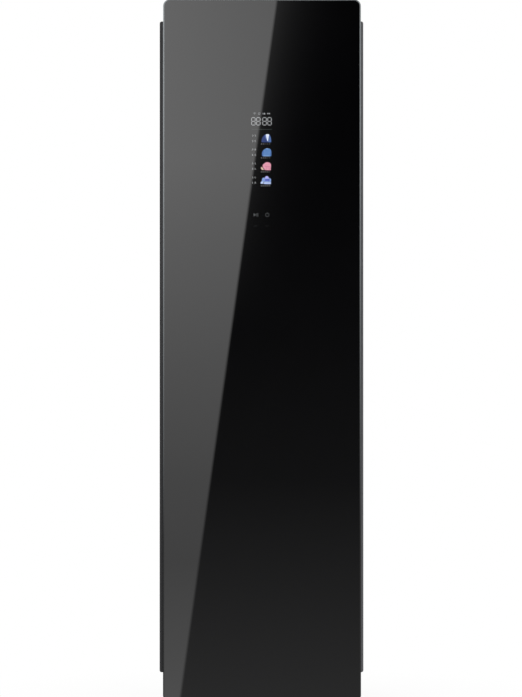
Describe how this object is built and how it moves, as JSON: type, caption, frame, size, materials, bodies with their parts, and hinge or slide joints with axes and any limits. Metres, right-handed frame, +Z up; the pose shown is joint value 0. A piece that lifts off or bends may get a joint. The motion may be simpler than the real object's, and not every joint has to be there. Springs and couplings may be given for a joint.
{
  "type": "clothes care steam cabinet",
  "caption": "Tall steam cabinet for clothes with a black mirror-glass door, edge grips, a display behind the glass, a moving hanger rail, a shelf and water tanks.",
  "frame": {"origin": "on the floor, in the middle of the footprint", "axes": "+Z up, +X to the right as seen from the front, +Y to the back; the door faces -Y"},
  "size_m": [0.53, 0.59, 1.85],
  "materials": {
    "mirror_glass": "black printed mirror glass, polished",
    "grip_metal": "dark anodised, satin",
    "body_paint": "dark grey powder coat, fine texture",
    "dark_plastic": "moulded, fine matt texture",
    "liner_plastic": "pale grey moulded, satin",
    "foam": "rigid foam, open cut",
    "seal_rubber": "soft grey extrusion",
    "zinc_steel": "zinc coated, rolled",
    "satin_steel": "satin ground",
    "aluminium": "mill finish fins",
    "tank_plastic": "tinted clear moulding",
    "tank_dark": "smoked clear moulding",
    "hanger_plastic": "moulded, low gloss",
    "hose_rubber": "smooth silicone",
    "lamp_plastic": "opal diffuser",
    "compressor_black": "black stoved paint"
  },
  "bodies": {
    "cabinet": {"left_side_panel": "body_paint", "right_side_panel": "body_paint", "back_panel": "zinc_steel", "rear_cover": "body_paint", "top_cover": "body_paint", "base_tray": "zinc_steel", "top_front_rail": "body_paint", "middle_front_rail": "body_paint", "lower_front_rail": "body_paint", "left_liner": "liner_plastic", "right_liner": "liner_plastic", "rear_liner": "liner_plastic", "floor_panel": "liner_plastic", "ceiling_panel": "liner_plastic", "chamber_insulation": "foam", "chamber_lamp": "lamp_plastic", "tank_bay": "liner_plastic", "hanger_drive": "dark_plastic", "compressor": "compressor_black", "heat_exchanger": "aluminium", "blower_housing": "dark_plastic", "blower_motor": "satin_steel", "steam_generator": "zinc_steel", "steam_hose": "hose_rubber", "steam_nozzle": "liner_plastic", "water_pump": "dark_plastic", "control_box": "liner_plastic", "cable_gland": "dark_plastic", "top_hinge_bracket": "zinc_steel", "bottom_hinge_bracket": "zinc_steel"},
    "door": {"door_glass": "mirror_glass", "door_core": "foam", "door_left_profile": "body_paint", "door_right_profile": "body_paint", "door_top_cap": "dark_plastic", "door_bottom_cap": "dark_plastic", "top_hinge_bush": "liner_plastic", "bottom_hinge_bush": "liner_plastic", "door_liner": "liner_plastic", "door_gasket": "seal_rubber", "left_grip_strip": "grip_metal", "right_grip_strip": "grip_metal", "display_module": "dark_plastic"},
    "hanging_rail": {"hanger_carriage": "dark_plastic", "hanger_rail": "satin_steel"},
    "hanger_one": {"hanger_1": "hanger_plastic"},
    "hanger_two": {"hanger_2": "hanger_plastic"},
    "hanger_three": {"hanger_3": "hanger_plastic"},
    "shelf_tray": {"shelf": "liner_plastic"},
    "filter": {"lint_filter": "tank_dark"},
    "aroma": {"aroma_cartridge": "tank_dark"},
    "supply_tank_unit": {"supply_tank": "tank_plastic", "supply_tank_lid": "dark_plastic"},
    "drain_tank_unit": {"drain_tank": "tank_dark", "drain_tank_lid": "dark_plastic"},
    "blower_rotor": {"blower_wheel": "dark_plastic"},
    "foot_left_front": {"left_front_foot": "dark_plastic"},
    "foot_left_back": {"left_back_foot": "dark_plastic"},
    "foot_right_front": {"right_front_foot": "dark_plastic"},
    "foot_right_back": {"right_back_foot": "dark_plastic"}
  },
  "joints": [
    {"name": "door_hinge", "type": "hinge", "parent": "cabinet", "child": "door", "pos_m": [0.244, -0.276, 0.935], "axis": [0, 0, 1], "range_deg": [0, 110]},
    {"name": "rail_slide", "type": "slide", "parent": "cabinet", "child": "hanging_rail", "axis": [1, 0, 0], "range_m": [-0.015, 0.015]},
    {"name": "hanger_1_swing", "type": "hinge", "parent": "hanging_rail", "child": "hanger_one", "pos_m": [-0.11, 0.0066, 1.685], "axis": [1, 0, 0], "range_deg": [-20, 20]},
    {"name": "hanger_2_swing", "type": "hinge", "parent": "hanging_rail", "child": "hanger_two", "pos_m": [0, 0.0066, 1.685], "axis": [1, 0, 0], "range_deg": [-20, 20]},
    {"name": "hanger_3_swing", "type": "hinge", "parent": "hanging_rail", "child": "hanger_three", "pos_m": [0.11, 0.0066, 1.685], "axis": [1, 0, 0], "range_deg": [-20, 20]},
    {"name": "shelf_lift", "type": "slide", "parent": "cabinet", "child": "shelf_tray", "axis": [0, 0, 1], "range_m": [0, 0.06]},
    {"name": "filter_lift", "type": "slide", "parent": "cabinet", "child": "filter", "axis": [0, 0, 1], "range_m": [0, 0.07]},
    {"name": "aroma_lift", "type": "slide", "parent": "cabinet", "child": "aroma", "axis": [0, 0, 1], "range_m": [0, 0.05]},
    {"name": "supply_tank_slide", "type": "slide", "parent": "cabinet", "child": "supply_tank_unit", "axis": [0, -1, 0], "range_m": [0, 0.1]},
    {"name": "drain_tank_slide", "type": "slide", "parent": "cabinet", "child": "drain_tank_unit", "axis": [0, -1, 0], "range_m": [0, 0.1]},
    {"name": "blower_spin", "type": "hinge", "parent": "cabinet", "child": "blower_rotor", "pos_m": [0.063, 0.175, 0.305], "axis": [1, 0, 0], "continuous": true},
    {"name": "foot_left_front_turn", "type": "hinge", "parent": "cabinet", "child": "foot_left_front", "pos_m": [-0.215, -0.2, 0.022], "axis": [0, 0, 1], "continuous": true},
    {"name": "foot_left_back_turn", "type": "hinge", "parent": "cabinet", "child": "foot_left_back", "pos_m": [-0.215, 0.245, 0.022], "axis": [0, 0, 1], "continuous": true},
    {"name": "foot_right_front_turn", "type": "hinge", "parent": "cabinet", "child": "foot_right_front", "pos_m": [0.215, -0.2, 0.022], "axis": [0, 0, 1], "continuous": true},
    {"name": "foot_right_back_turn", "type": "hinge", "parent": "cabinet", "child": "foot_right_back", "pos_m": [0.215, 0.245, 0.022], "axis": [0, 0, 1], "continuous": true}
  ],
  "couplings": [
    {"joint": "supply_tank_slide", "follows": "door_hinge", "m_per_rad": 0.051},
    {"joint": "drain_tank_slide", "follows": "door_hinge", "m_per_rad": 0.051}
  ]
}
